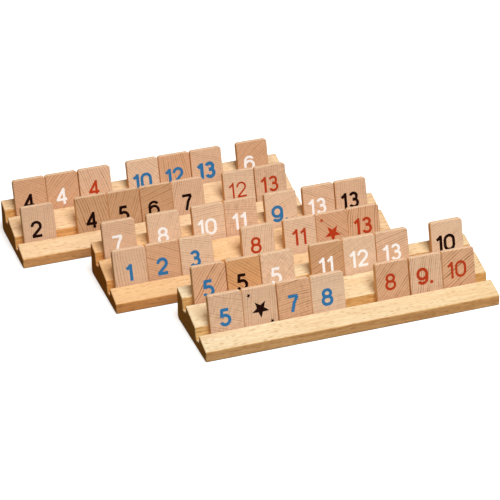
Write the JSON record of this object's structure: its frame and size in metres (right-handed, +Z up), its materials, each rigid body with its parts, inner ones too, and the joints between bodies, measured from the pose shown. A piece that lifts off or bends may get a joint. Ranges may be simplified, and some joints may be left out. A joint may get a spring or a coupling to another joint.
{
  "type": "rummy tile rack set",
  "caption": "Beech wedge racks with leaning grooves, set out in a staggered row, holding upright wooden rummy tiles numbered in several colours.",
  "frame": {"origin": "middle of the whole group's footprint, on the table that the racks stand on", "axes": "+X along the racks, to the players' right as they read the tiles; +Y from the front rack to the back rack; +Z up"},
  "size_m": [0.3202, 0.244, 0.047],
  "materials": {
    "rack_beech": "planed and sanded, left bare",
    "tile_beech": "sanded, left bare",
    "ink_black": "screen-printed ink",
    "ink_red": "screen-printed ink",
    "ink_blue": "screen-printed ink",
    "ink_white": "screen-printed ink"
  },
  "bodies": {
    "middle_rack": {"middle_rack": "rack_beech"},
    "front_rack": {"front_rack": "rack_beech"},
    "back_rack": {"back_rack": "rack_beech"},
    "tile_front_lower_1_blue_5": {"tile_front_lower_1_blue_5": "tile_beech"},
    "tile_front_lower_2_black_star": {"tile_front_lower_2_black_star": "tile_beech"},
    "tile_front_lower_3_blue_7": {"tile_front_lower_3_blue_7": "tile_beech"},
    "tile_front_lower_4_blue_8": {"tile_front_lower_4_blue_8": "tile_beech"},
    "tile_front_lower_5_red_8": {"tile_front_lower_5_red_8": "tile_beech"},
    "tile_front_lower_6_red_9": {"tile_front_lower_6_red_9": "tile_beech"},
    "tile_front_lower_7_red_10": {"tile_front_lower_7_red_10": "tile_beech"},
    "tile_front_upper_1_blue_5": {"tile_front_upper_1_blue_5": "tile_beech"},
    "tile_front_upper_2_black_5": {"tile_front_upper_2_black_5": "tile_beech"},
    "tile_front_upper_3_white_5": {"tile_front_upper_3_white_5": "tile_beech"},
    "tile_front_upper_4_white_11": {"tile_front_upper_4_white_11": "tile_beech"},
    "tile_front_upper_5_white_12": {"tile_front_upper_5_white_12": "tile_beech"},
    "tile_front_upper_6_white_13": {"tile_front_upper_6_white_13": "tile_beech"},
    "tile_front_upper_7_black_10": {"tile_front_upper_7_black_10": "tile_beech"},
    "tile_middle_lower_1_blue_1": {"tile_middle_lower_1_blue_1": "tile_beech"},
    "tile_middle_lower_2_blue_2": {"tile_middle_lower_2_blue_2": "tile_beech"},
    "tile_middle_lower_3_blue_3": {"tile_middle_lower_3_blue_3": "tile_beech"},
    "tile_middle_lower_4_red_8": {"tile_middle_lower_4_red_8": "tile_beech"},
    "tile_middle_lower_5_red_11": {"tile_middle_lower_5_red_11": "tile_beech"},
    "tile_middle_lower_6_red_star": {"tile_middle_lower_6_red_star": "tile_beech"},
    "tile_middle_lower_7_red_13": {"tile_middle_lower_7_red_13": "tile_beech"},
    "tile_middle_upper_1_white_7": {"tile_middle_upper_1_white_7": "tile_beech"},
    "tile_middle_upper_2_white_8": {"tile_middle_upper_2_white_8": "tile_beech"},
    "tile_middle_upper_3_white_10": {"tile_middle_upper_3_white_10": "tile_beech"},
    "tile_middle_upper_4_white_11": {"tile_middle_upper_4_white_11": "tile_beech"},
    "tile_middle_upper_5_blue_9": {"tile_middle_upper_5_blue_9": "tile_beech"},
    "tile_middle_upper_6_white_13": {"tile_middle_upper_6_white_13": "tile_beech"},
    "tile_middle_upper_7_black_13": {"tile_middle_upper_7_black_13": "tile_beech"},
    "tile_back_lower_1_black_2": {"tile_back_lower_1_black_2": "tile_beech"},
    "tile_back_lower_2_black_4": {"tile_back_lower_2_black_4": "tile_beech"},
    "tile_back_lower_3_black_5": {"tile_back_lower_3_black_5": "tile_beech"},
    "tile_back_lower_4_black_6": {"tile_back_lower_4_black_6": "tile_beech"},
    "tile_back_lower_5_black_7": {"tile_back_lower_5_black_7": "tile_beech"},
    "tile_back_lower_6_red_12": {"tile_back_lower_6_red_12": "tile_beech"},
    "tile_back_lower_7_red_13": {"tile_back_lower_7_red_13": "tile_beech"},
    "tile_back_upper_1_black_4": {"tile_back_upper_1_black_4": "tile_beech"},
    "tile_back_upper_2_white_4": {"tile_back_upper_2_white_4": "tile_beech"},
    "tile_back_upper_3_red_4": {"tile_back_upper_3_red_4": "tile_beech"},
    "tile_back_upper_4_blue_10": {"tile_back_upper_4_blue_10": "tile_beech"},
    "tile_back_upper_5_blue_12": {"tile_back_upper_5_blue_12": "tile_beech"},
    "tile_back_upper_6_blue_13": {"tile_back_upper_6_blue_13": "tile_beech"},
    "tile_back_upper_7_white_6": {"tile_back_upper_7_white_6": "tile_beech"}
  },
  "joints": [
    {"name": "front_rack_slides_forward", "type": "slide", "parent": "middle_rack", "child": "front_rack", "axis": [0, -1, 0], "range_m": [0, 0.1]},
    {"name": "back_rack_slides_back", "type": "slide", "parent": "middle_rack", "child": "back_rack", "axis": [0, 1, 0], "range_m": [0, 0.1]},
    {"name": "tile_front_lower_1_blue_5_lifts", "type": "slide", "parent": "front_rack", "child": "tile_front_lower_1_blue_5", "axis": [0, 0.247, 0.969], "range_m": [0, 0.02]},
    {"name": "tile_front_lower_2_black_star_lifts", "type": "slide", "parent": "front_rack", "child": "tile_front_lower_2_black_star", "axis": [0, 0.247, 0.969], "range_m": [0, 0.02]},
    {"name": "tile_front_lower_3_blue_7_lifts", "type": "slide", "parent": "front_rack", "child": "tile_front_lower_3_blue_7", "axis": [0, 0.247, 0.969], "range_m": [0, 0.02]},
    {"name": "tile_front_lower_4_blue_8_lifts", "type": "slide", "parent": "front_rack", "child": "tile_front_lower_4_blue_8", "axis": [0, 0.247, 0.969], "range_m": [0, 0.02]},
    {"name": "tile_front_lower_5_red_8_lifts", "type": "slide", "parent": "front_rack", "child": "tile_front_lower_5_red_8", "axis": [0, 0.247, 0.969], "range_m": [0, 0.02]},
    {"name": "tile_front_lower_6_red_9_lifts", "type": "slide", "parent": "front_rack", "child": "tile_front_lower_6_red_9", "axis": [0, 0.247, 0.969], "range_m": [0, 0.02]},
    {"name": "tile_front_lower_7_red_10_lifts", "type": "slide", "parent": "front_rack", "child": "tile_front_lower_7_red_10", "axis": [0, 0.247, 0.969], "range_m": [0, 0.02]},
    {"name": "tile_front_upper_1_blue_5_lifts", "type": "slide", "parent": "front_rack", "child": "tile_front_upper_1_blue_5", "axis": [0, 0.247, 0.969], "range_m": [0, 0.02]},
    {"name": "tile_front_upper_2_black_5_lifts", "type": "slide", "parent": "front_rack", "child": "tile_front_upper_2_black_5", "axis": [0, 0.247, 0.969], "range_m": [0, 0.02]},
    {"name": "tile_front_upper_3_white_5_lifts", "type": "slide", "parent": "front_rack", "child": "tile_front_upper_3_white_5", "axis": [0, 0.247, 0.969], "range_m": [0, 0.02]},
    {"name": "tile_front_upper_4_white_11_lifts", "type": "slide", "parent": "front_rack", "child": "tile_front_upper_4_white_11", "axis": [0, 0.247, 0.969], "range_m": [0, 0.02]},
    {"name": "tile_front_upper_5_white_12_lifts", "type": "slide", "parent": "front_rack", "child": "tile_front_upper_5_white_12", "axis": [0, 0.247, 0.969], "range_m": [0, 0.02]},
    {"name": "tile_front_upper_6_white_13_lifts", "type": "slide", "parent": "front_rack", "child": "tile_front_upper_6_white_13", "axis": [0, 0.247, 0.969], "range_m": [0, 0.02]},
    {"name": "tile_front_upper_7_black_10_lifts", "type": "slide", "parent": "front_rack", "child": "tile_front_upper_7_black_10", "axis": [0, 0.247, 0.969], "range_m": [0, 0.02]},
    {"name": "tile_middle_lower_1_blue_1_lifts", "type": "slide", "parent": "middle_rack", "child": "tile_middle_lower_1_blue_1", "axis": [0, 0.247, 0.969], "range_m": [0, 0.02]},
    {"name": "tile_middle_lower_2_blue_2_lifts", "type": "slide", "parent": "middle_rack", "child": "tile_middle_lower_2_blue_2", "axis": [0, 0.247, 0.969], "range_m": [0, 0.02]},
    {"name": "tile_middle_lower_3_blue_3_lifts", "type": "slide", "parent": "middle_rack", "child": "tile_middle_lower_3_blue_3", "axis": [0, 0.247, 0.969], "range_m": [0, 0.02]},
    {"name": "tile_middle_lower_4_red_8_lifts", "type": "slide", "parent": "middle_rack", "child": "tile_middle_lower_4_red_8", "axis": [0, 0.247, 0.969], "range_m": [0, 0.02]},
    {"name": "tile_middle_lower_5_red_11_lifts", "type": "slide", "parent": "middle_rack", "child": "tile_middle_lower_5_red_11", "axis": [0, 0.247, 0.969], "range_m": [0, 0.02]},
    {"name": "tile_middle_lower_6_red_star_lifts", "type": "slide", "parent": "middle_rack", "child": "tile_middle_lower_6_red_star", "axis": [0, 0.247, 0.969], "range_m": [0, 0.02]},
    {"name": "tile_middle_lower_7_red_13_lifts", "type": "slide", "parent": "middle_rack", "child": "tile_middle_lower_7_red_13", "axis": [0, 0.247, 0.969], "range_m": [0, 0.02]},
    {"name": "tile_middle_upper_1_white_7_lifts", "type": "slide", "parent": "middle_rack", "child": "tile_middle_upper_1_white_7", "axis": [0, 0.247, 0.969], "range_m": [0, 0.02]},
    {"name": "tile_middle_upper_2_white_8_lifts", "type": "slide", "parent": "middle_rack", "child": "tile_middle_upper_2_white_8", "axis": [0, 0.247, 0.969], "range_m": [0, 0.02]},
    {"name": "tile_middle_upper_3_white_10_lifts", "type": "slide", "parent": "middle_rack", "child": "tile_middle_upper_3_white_10", "axis": [0, 0.247, 0.969], "range_m": [0, 0.02]},
    {"name": "tile_middle_upper_4_white_11_lifts", "type": "slide", "parent": "middle_rack", "child": "tile_middle_upper_4_white_11", "axis": [0, 0.247, 0.969], "range_m": [0, 0.02]},
    {"name": "tile_middle_upper_5_blue_9_lifts", "type": "slide", "parent": "middle_rack", "child": "tile_middle_upper_5_blue_9", "axis": [0, 0.247, 0.969], "range_m": [0, 0.02]},
    {"name": "tile_middle_upper_6_white_13_lifts", "type": "slide", "parent": "middle_rack", "child": "tile_middle_upper_6_white_13", "axis": [0, 0.247, 0.969], "range_m": [0, 0.02]},
    {"name": "tile_middle_upper_7_black_13_lifts", "type": "slide", "parent": "middle_rack", "child": "tile_middle_upper_7_black_13", "axis": [0, 0.247, 0.969], "range_m": [0, 0.02]},
    {"name": "tile_back_lower_1_black_2_lifts", "type": "slide", "parent": "back_rack", "child": "tile_back_lower_1_black_2", "axis": [0, 0.247, 0.969], "range_m": [0, 0.02]},
    {"name": "tile_back_lower_2_black_4_lifts", "type": "slide", "parent": "back_rack", "child": "tile_back_lower_2_black_4", "axis": [0, 0.247, 0.969], "range_m": [0, 0.02]},
    {"name": "tile_back_lower_3_black_5_lifts", "type": "slide", "parent": "back_rack", "child": "tile_back_lower_3_black_5", "axis": [0, 0.247, 0.969], "range_m": [0, 0.02]},
    {"name": "tile_back_lower_4_black_6_lifts", "type": "slide", "parent": "back_rack", "child": "tile_back_lower_4_black_6", "axis": [0, 0.247, 0.969], "range_m": [0, 0.02]},
    {"name": "tile_back_lower_5_black_7_lifts", "type": "slide", "parent": "back_rack", "child": "tile_back_lower_5_black_7", "axis": [0, 0.247, 0.969], "range_m": [0, 0.02]},
    {"name": "tile_back_lower_6_red_12_lifts", "type": "slide", "parent": "back_rack", "child": "tile_back_lower_6_red_12", "axis": [0, 0.247, 0.969], "range_m": [0, 0.02]},
    {"name": "tile_back_lower_7_red_13_lifts", "type": "slide", "parent": "back_rack", "child": "tile_back_lower_7_red_13", "axis": [0, 0.247, 0.969], "range_m": [0, 0.02]},
    {"name": "tile_back_upper_1_black_4_lifts", "type": "slide", "parent": "back_rack", "child": "tile_back_upper_1_black_4", "axis": [0, 0.247, 0.969], "range_m": [0, 0.02]},
    {"name": "tile_back_upper_2_white_4_lifts", "type": "slide", "parent": "back_rack", "child": "tile_back_upper_2_white_4", "axis": [0, 0.247, 0.969], "range_m": [0, 0.02]},
    {"name": "tile_back_upper_3_red_4_lifts", "type": "slide", "parent": "back_rack", "child": "tile_back_upper_3_red_4", "axis": [0, 0.247, 0.969], "range_m": [0, 0.02]},
    {"name": "tile_back_upper_4_blue_10_lifts", "type": "slide", "parent": "back_rack", "child": "tile_back_upper_4_blue_10", "axis": [0, 0.247, 0.969], "range_m": [0, 0.02]},
    {"name": "tile_back_upper_5_blue_12_lifts", "type": "slide", "parent": "back_rack", "child": "tile_back_upper_5_blue_12", "axis": [0, 0.247, 0.969], "range_m": [0, 0.02]},
    {"name": "tile_back_upper_6_blue_13_lifts", "type": "slide", "parent": "back_rack", "child": "tile_back_upper_6_blue_13", "axis": [0, 0.247, 0.969], "range_m": [0, 0.02]},
    {"name": "tile_back_upper_7_white_6_lifts", "type": "slide", "parent": "back_rack", "child": "tile_back_upper_7_white_6", "axis": [0, 0.247, 0.969], "range_m": [0, 0.02]}
  ]
}
